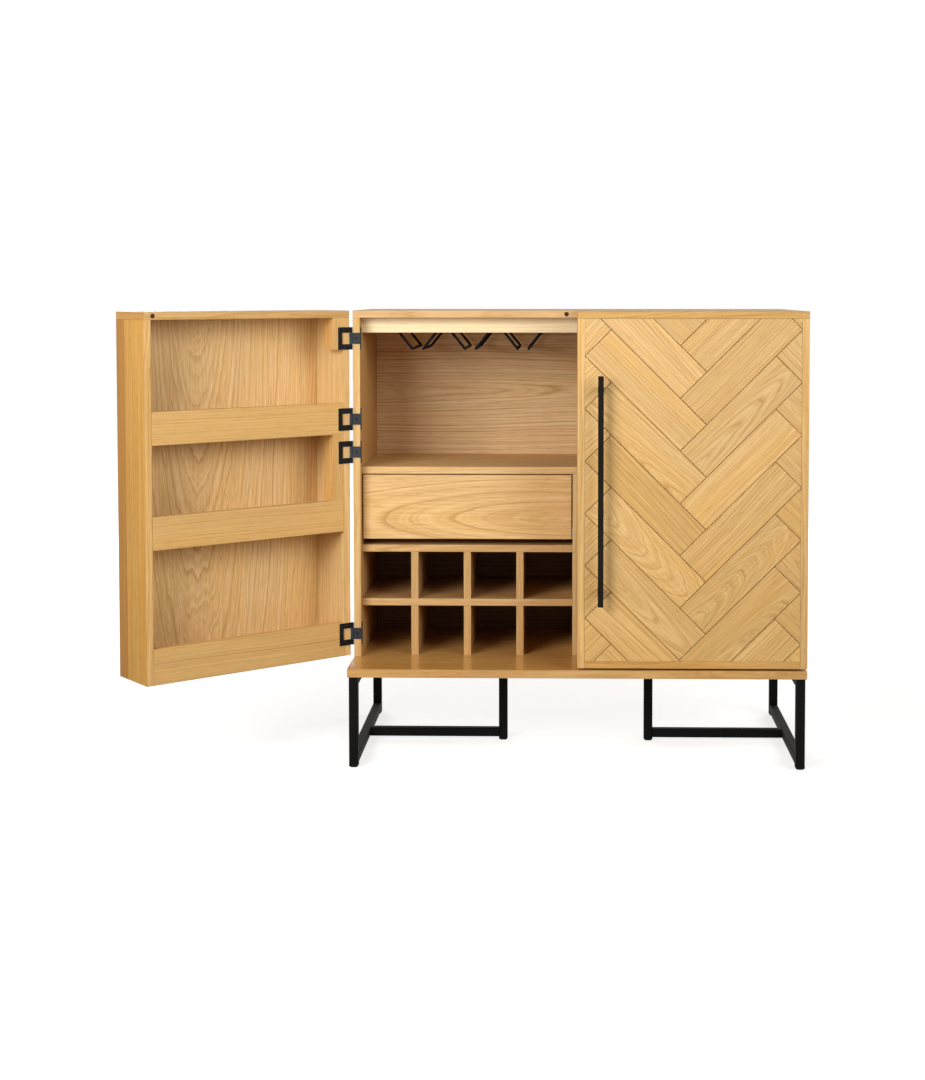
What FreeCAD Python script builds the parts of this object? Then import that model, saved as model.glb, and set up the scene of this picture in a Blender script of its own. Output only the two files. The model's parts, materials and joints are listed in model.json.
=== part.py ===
"""Oak drinks cabinet on black steel leg frames.

Two box-shaped doors with herringbone fronts close face to face on the carcass.
The left door is drawn open, as it stands in the picture; the right one is shut.
Millimetres. Origin on the floor under the middle of the base board,
X to the viewer's right, Y to the back, Z up.
"""
import FreeCAD, Part
import math
import os
import re
import Sketcher
from FreeCAD import Placement, Rotation, Vector

doc = FreeCAD.newDocument("drinks_cabinet")
sheet = doc.addObject("Spreadsheet::Sheet", "sizes")

# Driving sizes, each set by itself.
SIZES = {
    # whole cabinet
    "width": 1000,
    "depth": 500,
    "leg_height": 200,
    "base_thickness": 18,
    "carcass_height": 780,
    "board": 16,
    "back_thickness": 10,
    "back_inset": 25,
    "inner_setback": 25,
    "top_rail_height": 34,
    "top_rail_setback": 35,
    # bottle rack and drawer, stacked from the base board up
    "lower_cell_height": 112,
    "upper_cell_height": 106.5,
    "middle_cell_width": 103,
    "finger_gap": 13.5,
    "drawer_front_height": 145,
    "drawer_gap": 2.5,
    "drawer_back_gap": 4,
    "drawer_side_height": 110,
    "drawer_wall": 12,
    "drawer_bottom_thickness": 6,
    "drawer_bottom_lift": 8,
    "drawer_back_drop": 12,
    "runner_flange": 10,
    "runner_wall_height": 24,
    "runner_sheet": 1.5,
    "runner_clearance": 0.3,
    "right_shelf_height": 205,
    # doors
    "door_depth": 128,
    "door_gap": 2,
    "door_lift": 4.5,
    "meeting_gap": 3,
    "door_front_thickness": 16,
    "bottom_rail_height": 75.5,
    "rail_height": 70,
    "lower_shelf_height": 281.5,
    "upper_shelf_height": 499.5,
    "hinge_block_width": 26,
    "hinge_block_depth": 40,
    "left_door_open": 140,
    "right_door_open": 0,
    # herringbone
    "plank_width": 80.5,
    "plank_length": 290.6,
    "plank_thickness": 5,
    "plank_gap": 0.6,
    "plank_bevel": 1,
    "first_plank_drop": 80,
    # flush hinges
    "hinge_offset": 4,
    "hinge_height": 50,
    "inner_leaf_height": 25,
    "leaf_reach": 29,
    "leaf_sheet": 1.7,
    "leaf_window_edge": 10,
    "leaf_clearance": 0.25,
    "hinge_flange": 13,
    "knuckle_radius": 3.7,
    "pin_radius": 2,
    "pin_clearance": 0.05,
    "top_hinge_drop": 62,
    "rail_hinge_rise": 33,
    "block_hinge_drop": 41,
    "low_hinge_rise": 48.5,
    # handles
    "handle_length": 498,
    "handle_width": 12,
    "handle_thickness": 8,
    "handle_stand": 22,
    "handle_inset": 50,
    "handle_leg": 12,
    "handle_leg_inset": 30,
    # magnet catches
    "magnet_radius": 5,
    "magnet_depth": 5,
    "magnet_clearance": 0.1,
    "magnet_inset": 22,
    # hanging glass racks
    "wire_radius": 3,
    "glass_slot": 19,
    "glass_rack_drop": 71,
    "glass_rack_pitch": 119.5,
    "glass_rack_shift": 6,
    "glass_rack_spread": 36,
    "glass_rack_post": 26,
    "glass_rack_front": 62,
    "glass_rack_back": 30,
    # leg frames
    "tube": 20,
    "tube_wall": 1.5,
    "tube_corner": 2,
    "frame_inset": 3,
    "inner_leg_x": 168,
    "foot_height": 8,
    "foot_bevel": 4,
    "foot_plug": 14,
    "foot_plug_clearance": 0.1,
}

# Levels and planes that follow from them.
DERIVED = {
    "half_width": "width / 2",
    "inner_x": "half_width - board",
    "front_y": "-depth / 2",
    "back_y": "depth / 2",
    "base_top": "leg_height + base_thickness",
    "cabinet_top": "base_top + carcass_height",
    "top_under": "cabinet_top - board",
    "rim_y": "front_y + door_depth + door_gap",
    "inner_y": "rim_y + inner_setback",
    "back_face_y": "back_y - back_inset - back_thickness",
    "inner_depth": "back_face_y - inner_y",
    "bay_width": "inner_x - board / 2",
    "bay_middle": "(inner_x + board / 2) / 2",
    "rack_middle_z": "base_top + lower_cell_height",
    "rack_top_z": "rack_middle_z + board + upper_cell_height",
    "drawer_z": "rack_top_z + board + finger_gap",
    "shelf_z": "drawer_z + drawer_front_height + drawer_gap",
    "shelf_top": "shelf_z + board",
    "divider_pitch": "middle_cell_width + board",
    # the drawer box inside its bay
    "drawer_length": "inner_depth - board - drawer_back_gap",
    "drawer_box_width": "bay_width - 2 * runner_sheet - 2 * runner_clearance",
    "drawer_box_z": "drawer_z + runner_sheet + runner_clearance",
    "runner_length": "drawer_length - runner_clearance",
    # a door in its own frame: origin on the hinge axis, x to the free edge
    "axis_x": "half_width + hinge_offset",
    "axis_y": "rim_y - door_gap / 2",
    "door_width": "half_width - meeting_gap / 2",
    "door_free": "hinge_offset + door_width",
    "door_in": "hinge_offset + board",
    "door_inner_width": "door_width - 2 * board",
    "door_rim": "-door_gap / 2",
    "door_face": "door_rim - door_depth",
    "door_floor": "base_top + door_lift",
    "door_height": "cabinet_top - door_floor",
    "panel_back": "door_face + door_front_thickness",
    "lower_rail_z": "door_floor + lower_shelf_height",
    "upper_rail_z": "door_floor + upper_shelf_height",
    "left_cos": "cos(left_door_open * 1 deg)",
    "left_sin": "sin(left_door_open * 1 deg)",
    "right_cos": "cos(right_door_open * 1 deg)",
    "right_sin": "sin(right_door_open * 1 deg)",
    # leg frames
    "frame_x": "half_width - frame_inset",
    "frame_y": "depth / 2 - frame_inset",
    "tube_length": "leg_height - foot_height",
    "frame_span": "2 * frame_y - 2 * tube",
    "cross_span": "frame_x - tube - inner_leg_x - tube / 2",
}

for row, (alias, number) in enumerate(SIZES.items(), 1):
    sheet.set(f"A{row}", str(number))
    sheet.setAlias(f"A{row}", alias)
doc.recompute()
for row, (alias, formula) in enumerate(DERIVED.items(), 1):
    sheet.set(f"B{row}", "=" + formula)
    sheet.setAlias(f"B{row}", alias)
doc.recompute()

NAMES = set(SIZES) | set(DERIVED)
WORD = re.compile(r"\b[a-z][a-z_]*\b")
nodes = {}


def size(alias):
    """A size as a plain number."""
    return float(sheet.get(alias))


def bind(target, prop, text):
    """Tie a property to an expression in the sheet's names."""
    full = WORD.sub(lambda w: "sizes." + w.group() if w.group() in NAMES else w.group(), text)
    target.setExpression(prop, full)


def keep(name, target):
    """Make an object a piece of the cabinet under its own name."""
    target.Label = name
    nodes[name] = target
    return target


def box(name, x, y, z, dx, dy, dz):
    """A board by its low corner and its three sizes, each an expression."""
    made = doc.addObject("Part::Box", name)
    for prop, text in (("Length", dx), ("Width", dy), ("Height", dz)):
        bind(made, prop, text)
    for letter, text in (("x", x), ("y", y), ("z", z)):
        bind(made, "Placement.Base." + letter, text)
    return made


def board(name, *where):
    return keep(name, box(name, *where))


def group(name, members):
    """Several solids that make one piece, or a set of the same piece."""
    made = doc.addObject("Part::Compound", name)
    made.Links = members
    return keep(name, made)


def feature(name, solids):
    """A piece whose shape is worked out here from the sheet's sizes."""
    made = doc.addObject("Part::Feature", name)
    made.Shape = solids[0] if len(solids) == 1 else Part.makeCompound(solids)
    return made


# Carcass boards

board("base_board", "-half_width", "front_y", "leg_height", "width", "depth", "base_thickness")
SIDE_DEPTH = "back_y - rim_y"
board("left_side", "-half_width", "rim_y", "base_top", "board", SIDE_DEPTH, "carcass_height - board")
board("right_side", "inner_x", "rim_y", "base_top", "board", SIDE_DEPTH, "carcass_height - board")
board(
    "back_panel", "-inner_x", "back_face_y", "base_top",
    "2 * inner_x", "back_thickness", "carcass_height - board",
)
board(
    "top_rail", "-inner_x", "rim_y + top_rail_setback", "top_under - top_rail_height",
    "2 * inner_x", "board", "top_rail_height",
)
board("upper_shelf", "-inner_x", "inner_y", "shelf_z", "2 * inner_x", "inner_depth", "board")
board(
    "centre_partition", "-board / 2", "inner_y", "base_top",
    "board", "inner_depth", "shelf_z - base_top",
)
board("rack_top_board", "-inner_x", "inner_y", "rack_top_z", "bay_width", "inner_depth", "board")
board("rack_middle_board", "-inner_x", "inner_y", "rack_middle_z", "bay_width", "inner_depth", "board")
board(
    "right_bay_shelf", "board / 2", "inner_y", "base_top + right_shelf_height",
    "bay_width", "inner_depth", "board",
)

dividers = []
for place, step in (("left", -1), ("middle", 0), ("right", 1)):
    divider_x = f"-bay_middle + {step} * divider_pitch - board / 2"
    dividers.append(box(
        f"lower_divider_{place}", divider_x, "inner_y", "base_top",
        "board", "inner_depth", "lower_cell_height",
    ))
    dividers.append(box(
        f"upper_divider_{place}", divider_x, "inner_y", "rack_middle_z + board",
        "board", "inner_depth", "upper_cell_height",
    ))
group("bottle_dividers", dividers)

# Top board, with a blind hole for each magnet in its front edge

top_blank = box("top_blank", "-half_width", "rim_y", "top_under", "width", SIDE_DEPTH, "board")
top_cut = top_blank
for side, sign in (("left", -1), ("right", 1)):
    hole = doc.addObject("Part::Cylinder", f"{side}_magnet_hole")
    hole.Placement = Placement(Vector(0, 0, 0), Rotation(Vector(1, 0, 0), -90))
    bind(hole, "Radius", "magnet_radius + magnet_clearance")
    bind(hole, "Height", "magnet_depth")
    bind(hole, "Placement.Base.x", f"{sign} * magnet_inset")
    bind(hole, "Placement.Base.y", "rim_y")
    bind(hole, "Placement.Base.z", "top_under + board / 2")
    drilled = doc.addObject("Part::Cut", f"top_drilled_{side}")
    drilled.Base = top_cut
    drilled.Tool = hole
    top_cut = drilled
keep("top_board", top_cut)

magnets = []
for side, sign in (("left", -1), ("right", 1)):
    disc = doc.addObject("Part::Cylinder", f"{side}_top_magnet")
    disc.Placement = Placement(Vector(0, 0, 0), Rotation(Vector(1, 0, 0), -90))
    bind(disc, "Radius", "magnet_radius")
    bind(disc, "Height", "magnet_depth")
    bind(disc, "Placement.Base.x", f"{sign} * magnet_inset")
    bind(disc, "Placement.Base.y", "rim_y")
    bind(disc, "Placement.Base.z", "top_under + board / 2")
    magnets.append(disc)
group("top_magnets", magnets)

# Drawer and its angle runners

BOX_X = "-inner_x + runner_sheet + runner_clearance"
BOX_Y = "inner_y + board"
board(
    "drawer_front", "-inner_x + drawer_gap", "inner_y", "drawer_z",
    "bay_width - 2 * drawer_gap", "board", "drawer_front_height",
)
board(
    "drawer_left_side", BOX_X, BOX_Y, "drawer_box_z",
    "drawer_wall", "drawer_length", "drawer_side_height",
)
board(
    "drawer_right_side", BOX_X + " + drawer_box_width - drawer_wall", BOX_Y, "drawer_box_z",
    "drawer_wall", "drawer_length", "drawer_side_height",
)
INNER_X = BOX_X + " + drawer_wall"
INNER_WIDTH = "drawer_box_width - 2 * drawer_wall"
board(
    "drawer_back", INNER_X, BOX_Y + " + drawer_length - drawer_wall", "drawer_box_z",
    INNER_WIDTH, "drawer_wall", "drawer_side_height - drawer_back_drop",
)
board(
    "drawer_bottom", INNER_X, BOX_Y, "drawer_box_z + drawer_bottom_lift",
    INNER_WIDTH, "drawer_length - drawer_wall", "drawer_bottom_thickness",
)


# A sketch's corners start on a ring of this radius, and their constraints move them.
START_RADIUS = 10


def sketch_loop(sketch, corners):
    """A closed outline whose corners are tied to pairs of expressions."""
    first = sketch.GeometryCount
    count = len(corners)
    turns = [2 * math.pi * k / count for k in range(count)]
    rough = [Vector(START_RADIUS * math.cos(turn), START_RADIUS * math.sin(turn), 0) for turn in turns]
    for k in range(count):
        sketch.addGeometry(Part.LineSegment(rough[k], rough[(k + 1) % count]), False)
    for k in range(count):
        sketch.addConstraint(Sketcher.Constraint("Coincident", first + k, 2, first + (k + 1) % count, 1))
    for k, (across, along) in enumerate(corners):
        for kind, text in (("DistanceX", across), ("DistanceY", along)):
            at = sketch.addConstraint(Sketcher.Constraint(kind, -1, 1, first + k, 1, 1.0))
            bind(sketch, f"Constraints[{at}]", text)


def profile(name, loops, length):
    """A straight bar: outlines in the XY plane, padded along Z."""
    body = doc.addObject("PartDesign::Body", name)
    sketch = body.newObject("Sketcher::SketchObject", name + "_outline")
    plane = [f for f in body.Origin.OriginFeatures if f.Role == "XY_Plane"][0]
    sketch.AttachmentSupport = [(plane, "")]
    sketch.MapMode = "FlatFace"
    for corners in loops:
        sketch_loop(sketch, corners)
    pad = body.newObject("PartDesign::Pad", name + "_pad")
    pad.Profile = sketch
    bind(pad, "Length", length)
    sketch.Visibility = False
    return body


def put(body, x, y, z, turn=None):
    """Place a bar by expressions, turned first so that it runs along X or Y."""
    if turn == "y":
        body.Placement = Placement(Vector(0, 0, 0), Rotation(Vector(1, 0, 0), -90))
    if turn == "x":
        body.Placement = Placement(Vector(0, 0, 0), Rotation(Vector(0, 1, 0), 90))
    for letter, text in (("x", x), ("y", y), ("z", z)):
        bind(body, "Placement.Base." + letter, text)
    return body


# An angle: upright wall on the bay's side, flange under the drawer side.
left_angle = [
    ("0", "0"), ("runner_sheet", "0"),
    ("runner_sheet", "runner_wall_height - runner_sheet"),
    ("runner_flange", "runner_wall_height - runner_sheet"),
    ("runner_flange", "runner_wall_height"), ("0", "runner_wall_height"),
]
right_angle = [
    ("0", "runner_wall_height - runner_sheet"),
    ("runner_flange - runner_sheet", "runner_wall_height - runner_sheet"),
    ("runner_flange - runner_sheet", "0"), ("runner_flange", "0"),
    ("runner_flange", "runner_wall_height"), ("0", "runner_wall_height"),
]
runner_y = BOX_Y + " + runner_clearance"
runner_top = "drawer_z + runner_wall_height"
left_runner = profile("left_runner", [left_angle], "runner_length")
right_runner = profile("right_runner", [right_angle], "runner_length")
group("drawer_runners", [
    put(left_runner, "-inner_x", runner_y, runner_top, "y"),
    put(right_runner, "-board / 2 - runner_flange", runner_y, runner_top, "y"),
])

# Leg frames of square tube with eased corners, and a push-in glide under each upright

tube_outer = [
    ("tube_corner", "0"), ("tube - tube_corner", "0"),
    ("tube", "tube_corner"), ("tube", "tube - tube_corner"),
    ("tube - tube_corner", "tube"), ("tube_corner", "tube"),
    ("0", "tube - tube_corner"), ("0", "tube_corner"),
]
tube_inner = [
    ("tube_wall", "tube_wall"), ("tube - tube_wall", "tube_wall"),
    ("tube - tube_wall", "tube - tube_wall"), ("tube_wall", "tube - tube_wall"),
]


def tube(name, length):
    return profile(name, [tube_outer, tube_inner], length)


for side, sign in (("left", -1), ("right", 1)):
    outer_x = "-frame_x" if sign < 0 else "frame_x - tube"
    inner_leg = f"{sign} * inner_leg_x - tube / 2"
    cross_x = "-frame_x + tube" if sign < 0 else "inner_leg_x + tube / 2"
    uprights = {
        "front": (outer_x, "-frame_y"),
        "back": (outer_x, "frame_y - tube"),
        "inner": (inner_leg, "-tube / 2"),
    }
    tubes = []
    for place, (x, y) in uprights.items():
        tubes.append(put(tube(f"{side}_{place}_leg", "tube_length"), x, y, "foot_height"))
    for level, top in (("floor", "foot_height + tube"), ("top", "leg_height")):
        rail = tube(f"{side}_{level}_rail", "frame_span")
        tubes.append(put(rail, outer_x, "-frame_y + tube", top, "y"))
        cross = tube(f"{side}_{level}_cross", "cross_span")
        tubes.append(put(cross, cross_x, "-tube / 2", top, "x"))
    group(f"{side}_leg_frame", tubes)

doc.recompute()


def foot(middle):
    """A glide: a bevelled pad with a square plug that fills the tube's end."""
    side = size("tube")
    pad = Part.makeBox(side, side, size("foot_height"), Vector(-side / 2, -side / 2, 0))
    low = [e for e in pad.Edges if e.BoundBox.ZMax < size("foot_height") / 2]
    pad = pad.makeChamfer(size("foot_bevel"), low)
    plug_side = side - 2 * size("tube_wall") - 2 * size("foot_plug_clearance")
    corner = Vector(-plug_side / 2, -plug_side / 2, size("foot_height"))
    plug = Part.makeBox(plug_side, plug_side, size("foot_plug"), corner)
    whole = pad.fuse(plug)
    whole.translate(middle)
    return whole


foot_solids = []
edge_x = size("frame_x") - size("tube") / 2
edge_y = size("frame_y") - size("tube") / 2
for sign in (-1, 1):
    for x, y in ((edge_x, -edge_y), (edge_x, edge_y), (size("inner_leg_x"), 0)):
        foot_solids.append(foot(Vector(sign * x, y, 0)))
keep("feet", feature("feet", foot_solids))


# Hanging glass racks of round rod

def mitred_rod(points, radius):
    """A round rod along straight runs that meet on the mitre."""
    ring = Part.Wire(Part.makeCircle(radius, points[0], points[1] - points[0]))
    mitre = 1
    return Part.makePolygon(points).makePipeShell([ring], True, False, mitre)


def glass_rack():
    """Two rods along the depth about x = 0, each hung from the top board at both ends."""
    top = size("top_under")
    rod_z = top - size("glass_rack_drop")
    front = size("rim_y") + size("glass_rack_front")
    back = size("back_face_y") - size("glass_rack_back")
    near = size("glass_slot") / 2 + size("wire_radius")
    far = near + size("glass_rack_spread")
    elbow_z = top - size("glass_rack_post")
    solids = []
    for sign in (-1, 1):
        rod_x = sign * near
        hang_x = sign * far
        solids.append(mitred_rod(
            [
                Vector(hang_x, front, top), Vector(hang_x, front, elbow_z),
                Vector(rod_x, front, rod_z), Vector(rod_x, back, rod_z),
                Vector(hang_x, back, elbow_z), Vector(hang_x, back, top),
            ],
            size("wire_radius"),
        ))
    return solids


for place, step in (("left", -1), ("middle", 0), ("right", 1)):
    rack = keep(f"glass_rack_{place}", feature(f"glass_rack_{place}", glass_rack()))
    bind(rack, "Placement.Base.x", f"glass_rack_shift - bay_middle + {step} * glass_rack_pitch")


# Hinges: the leaf on the carcass nests in the window of the leaf on the door

def hinge_levels():
    top = size("cabinet_top") - size("top_hinge_drop")
    on_rail = size("upper_rail_z") + size("rail_hinge_rise")
    on_block = size("upper_rail_z") - size("block_hinge_drop")
    low = size("door_floor") + size("low_hinge_rise")
    return top, on_rail, on_block, low


def on_pin(radius, low, high):
    """A cylinder about the hinge axis between two levels."""
    return Part.makeCylinder(radius, high - low, Vector(0, 0, low))


def door_leaf():
    """Frame leaf on the door's rim; its two knuckles carry the pin between them."""
    half = size("hinge_height") / 2
    inner = size("inner_leaf_height") / 2 + size("leaf_clearance")
    reach = size("hinge_offset") + size("leaf_reach")
    edge = size("leaf_window_edge")
    sheet_y = size("door_rim")
    thick = size("leaf_sheet")
    leaf = Part.makeBox(edge, thick, 2 * half, Vector(reach - edge, sheet_y, -half))
    for low, high in ((-half, -inner), (inner, half)):
        strip = Part.makeBox(reach - edge, thick, high - low, Vector(0, sheet_y, low))
        leaf = leaf.fuse(strip.fuse(on_pin(size("knuckle_radius"), low, high)))
    return leaf.fuse(on_pin(size("pin_radius"), -half, half)).removeSplitter()


def carcass_leaf():
    """Small leaf on the carcass rim with a flange on the side's inner face."""
    half = size("hinge_height") / 2
    inner = size("inner_leaf_height") / 2
    thick = size("leaf_sheet")
    rim = -size("door_rim")
    side_in = size("hinge_offset") + size("board")
    plate = Part.makeBox(side_in + thick, thick, 2 * inner, Vector(0, rim - thick, -inner))
    flange = Part.makeBox(thick, size("hinge_flange"), 2 * half, Vector(side_in, rim, -half))
    barrel = on_pin(size("knuckle_radius"), -inner, inner)
    bore = on_pin(size("pin_radius") + size("pin_clearance"), -inner, inner)
    return plate.fuse(flange).fuse(barrel).cut(bore).removeSplitter()


def at_levels(solid):
    copies = []
    for level in hinge_levels():
        copy = solid.copy()
        copy.translate(Vector(0, 0, level))
        copies.append(copy)
    return copies


def hand(side, solids):
    """Left-hand solids as they are, or mirrored for the right-hand side."""
    if side == "left":
        return solids
    return [s.mirror(Vector(0, 0, 0), Vector(1, 0, 0)) for s in solids]


def on_axis(side, name, solids):
    """A fixed piece modelled about the hinge axis."""
    made = keep(name, feature(name, hand(side, solids)))
    bind(made, "Placement.Base.x", "-axis_x" if side == "left" else "axis_x")
    bind(made, "Placement.Base.y", "axis_y")
    return made


def swing(side, made, x, y):
    """Turn a door's piece with the door, from its place in the door's frame."""
    if side == "left":
        bind(made, "Placement.Base.x", f"-axis_x + left_cos * ({x}) + left_sin * ({y})")
        bind(made, "Placement.Base.y", f"axis_y - left_sin * ({x}) + left_cos * ({y})")
        bind(made, "Placement.Rotation.Angle", "-left_door_open")
    else:
        bind(made, "Placement.Base.x", f"axis_x + right_cos * ({x}) - right_sin * ({y})")
        bind(made, "Placement.Base.y", f"axis_y + right_sin * ({x}) + right_cos * ({y})")
        bind(made, "Placement.Rotation.Angle", "right_door_open")


def door_box(side, name, x, y, z, dx, dy, dz):
    """A board in the door's frame, turned with the door."""
    made = box(name, "0", "0", z, dx, dy, dz)
    made.Placement = Placement(made.Placement.Base, Rotation(Vector(0, 0, 1), 0))
    swing(side, made, x if side == "left" else f"-({x}) - ({dx})", y)
    return made


def door_feature(side, name, solids):
    """A worked-out shape in the door's frame, turned with the door."""
    made = keep(name, feature(name, hand(side, solids)))
    made.Placement = Placement(Vector(0, 0, 0), Rotation(Vector(0, 0, 1), 0))
    swing(side, made, "0", "0")
    return made


# Door pieces

def door_top():
    """Top board of a door, with a blind hole for the magnet in its rim."""
    thick = size("board")
    low = Vector(size("hinge_offset"), size("door_face"), size("top_under"))
    blank = Part.makeBox(size("door_width"), size("door_depth"), thick, low)
    return blank.cut(magnet_disc(size("magnet_radius") + size("magnet_clearance")))


def magnet_disc(radius):
    x = size("axis_x") - size("magnet_inset")
    y = size("door_rim") - size("magnet_depth")
    middle = Vector(x, y, size("top_under") + size("board") / 2)
    return Part.makeCylinder(radius, size("magnet_depth"), middle, Vector(0, 1, 0))


def handle():
    """A flat bar held off the front by two legs of its own width."""
    x = size("door_free") - size("handle_inset")
    half = size("handle_length") / 2
    middle_z = size("door_floor") + size("door_height") / 2
    bar_y = size("door_face") - size("handle_stand") - size("handle_thickness")
    wide = size("handle_width")
    leg = size("handle_leg")
    low = Vector(x - wide / 2, bar_y, middle_z - half)
    solids = [Part.makeBox(wide, size("handle_thickness"), 2 * half, low)]
    for sign in (-1, 1):
        z = middle_z + sign * (half - size("handle_leg_inset")) - leg / 2
        low = Vector(x - wide / 2, size("door_face") - size("handle_stand"), z)
        solids.append(Part.makeBox(wide, size("handle_stand"), leg, low))
    return solids


def plank(turn):
    """One bevelled plank about its own middle, turned in the plane of the front."""
    length = size("plank_length") - size("plank_gap")
    across = size("plank_width") - size("plank_gap")
    thick = size("plank_thickness")
    blank = Part.makeBox(length, thick, across, Vector(-length / 2, 0, -across / 2))
    front = [e for e in blank.Edges if e.BoundBox.YMax < thick / 2]
    blank = blank.makeChamfer(size("plank_bevel"), front)
    blank.rotate(Vector(0, 0, 0), Vector(0, 1, 0), turn)
    return blank


def herringbone():
    """Planks at 45 degrees: each end stops against the long edge of the next."""
    along = size("plank_length") / math.sqrt(2)
    across = size("plank_width") / math.sqrt(2)
    left = size("door_in") + size("plank_gap") / 2
    floor = size("door_floor") + size("board") + size("plank_gap") / 2
    wide = size("door_inner_width") - size("plank_gap")
    tall = size("door_height") - 2 * size("board") - size("plank_gap")
    face = size("door_face")
    panel = Part.makeBox(wide, size("plank_thickness"), tall, Vector(left, face, floor))
    free = size("door_in") + size("door_inner_width")
    top = size("top_under")
    falling = plank(-45)
    rising = plank(45)
    columns = int(size("door_inner_width") / (2 * along)) + 2
    rows = int((tall + along) / (2 * across)) + 2
    solids = []
    for column in range(-1, columns):
        for row in range(-2, rows):
            u = 2 * along * column + (along + across) / 2
            v = size("first_plank_drop") + 2 * across * row + (along - across) / 2
            for blank, shift_u, shift_v in ((falling, 0, 0), (rising, along, -across)):
                piece = blank.copy()
                piece.translate(Vector(free - u - shift_u, face, top - v - shift_v))
                if not piece.BoundBox.intersect(panel.BoundBox):
                    continue
                for solid in piece.common(panel).Solids:
                    if solid.BoundBox.DiagonalLength > 4 * size("plank_thickness"):
                        solids.append(solid)
    return solids


for side in ("left", "right"):
    on_axis(side, f"{side}_side_hinge_leaves", at_levels(carcass_leaf()))

    def door_board(name, *where):
        return keep(f"{side}_door_{name}", door_box(side, f"{side}_door_{name}", *where))

    side_height = "door_height - board"
    door_board("hinge_side", "hinge_offset", "door_face", "door_floor", "board", "door_depth", side_height)
    door_board(
        "free_side", "door_free - board", "door_face", "door_floor", "board", "door_depth", side_height,
    )
    door_board(
        "bottom", "door_in", "door_face", "door_floor",
        "door_inner_width", "door_depth - board", "board",
    )
    door_board(
        "panel", "door_in", "door_face + plank_thickness", "door_floor + board",
        "door_inner_width", "door_front_thickness - plank_thickness", "door_height - 2 * board",
    )
    shelf_depth = "door_depth - door_front_thickness - board"
    for place in ("lower", "upper"):
        rail_z = f"{place}_rail_z"
        door_board(
            f"{place}_rail", "door_in", "door_rim - board", rail_z,
            "door_inner_width", "board", "rail_height",
        )
        door_board(
            f"{place}_shelf", "door_in", "panel_back", rail_z,
            "door_inner_width", shelf_depth, "board",
        )
    door_board(
        "bottom_rail", "door_in", "door_rim - board", "door_floor",
        "door_inner_width", "board", "bottom_rail_height",
    )
    blocks = []
    for place, low, high in (
        ("high", "cabinet_top - top_hinge_drop - hinge_height / 2", "top_under"),
        ("low", "lower_rail_z + rail_height", "upper_rail_z"),
    ):
        blocks.append(door_box(
            side, f"{side}_door_{place}_block", "door_in", "door_rim - hinge_block_depth", low,
            "hinge_block_width", "hinge_block_depth", f"{high} - ({low})",
        ))
    group(f"{side}_door_hinge_blocks", blocks)
    door_feature(side, f"{side}_door_top", [door_top()])
    door_feature(side, f"{side}_door_magnet", [magnet_disc(size("magnet_radius"))])
    door_feature(side, f"{side}_door_hinge_leaves", at_levels(door_leaf()))
    door_feature(side, f"{side}_door_herringbone", herringbone())
    door_feature(side, f"{side}_door_handle", handle())

doc.recompute()

# Check every object, then write each piece to its own file

for made in doc.Objects:
    if "Invalid" in made.State or "Error" in made.State:
        raise RuntimeError(f"{made.Name} failed: {made.State}")
for name, made in nodes.items():
    if made.Shape.isNull() or not made.Shape.isValid() or not made.Shape.Solids:
        raise RuntimeError(f"{name} has no valid solid")

os.makedirs("parts", exist_ok=True)
for name, made in nodes.items():
    made.Shape.exportStep(f"parts/{name}.step")
print(len(nodes), "pieces written")
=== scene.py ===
"""Looks of the oak drinks cabinet: finishes, hinge screws, studio and camera.

Metres, in the frame of the solids: X to the viewer's right, Y to the back, Z up.
"""
import json
import math

import bmesh
import bpy
from mathutils import Matrix, Vector

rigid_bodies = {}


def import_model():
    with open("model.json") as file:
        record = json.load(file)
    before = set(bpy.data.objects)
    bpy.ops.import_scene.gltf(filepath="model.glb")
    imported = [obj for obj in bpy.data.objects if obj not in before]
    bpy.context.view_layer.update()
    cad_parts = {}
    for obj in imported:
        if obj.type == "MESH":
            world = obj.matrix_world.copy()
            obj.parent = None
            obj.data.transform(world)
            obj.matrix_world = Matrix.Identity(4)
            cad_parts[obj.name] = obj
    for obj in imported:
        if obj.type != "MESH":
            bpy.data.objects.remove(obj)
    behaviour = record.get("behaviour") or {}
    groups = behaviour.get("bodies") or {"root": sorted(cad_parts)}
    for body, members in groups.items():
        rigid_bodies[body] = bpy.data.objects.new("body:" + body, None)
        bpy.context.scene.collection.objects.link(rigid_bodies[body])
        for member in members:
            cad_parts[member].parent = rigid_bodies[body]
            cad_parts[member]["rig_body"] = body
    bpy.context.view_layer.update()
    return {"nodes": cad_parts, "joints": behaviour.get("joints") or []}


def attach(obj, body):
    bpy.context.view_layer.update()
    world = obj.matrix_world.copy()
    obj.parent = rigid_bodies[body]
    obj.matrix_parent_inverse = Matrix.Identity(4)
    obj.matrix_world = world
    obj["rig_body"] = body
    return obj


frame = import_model()
nodes = frame["nodes"]
joints = {j["name"]: j for j in frame["joints"]}
DOORS = ("left_door", "right_door")

# The doors' hinge axes, and how far the left door stands open at rest.
LEFT_AXIS = Vector(joints["left_door_hinge"]["pos_m"])
RIGHT_AXIS = Vector(joints["right_door_hinge"]["pos_m"])
LEFT_OPEN = math.radians(-joints["left_door_hinge"]["range_deg"][0])

# Herringbone, as in the solids.
PLANK_WIDTH = 0.0805
PLANK_LENGTH = 0.2906
FIRST_PLANK_DROP = 0.080
PLANK_BEVEL = 0.001

# Hinges, as in the solids: the levels of their middles, and the leaves about the axis.
HINGE_LEVELS = (0.936, 0.755, 0.681, 0.271)
LEAF_FACE = 0.0007
DOOR_SCREW = (0.018, 0.0189)
PLATE_SCREW = 0.0120
FLANGE_FACE = 0.0217
FLANGE_SCREW = (0.0075, 0.0190)

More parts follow.
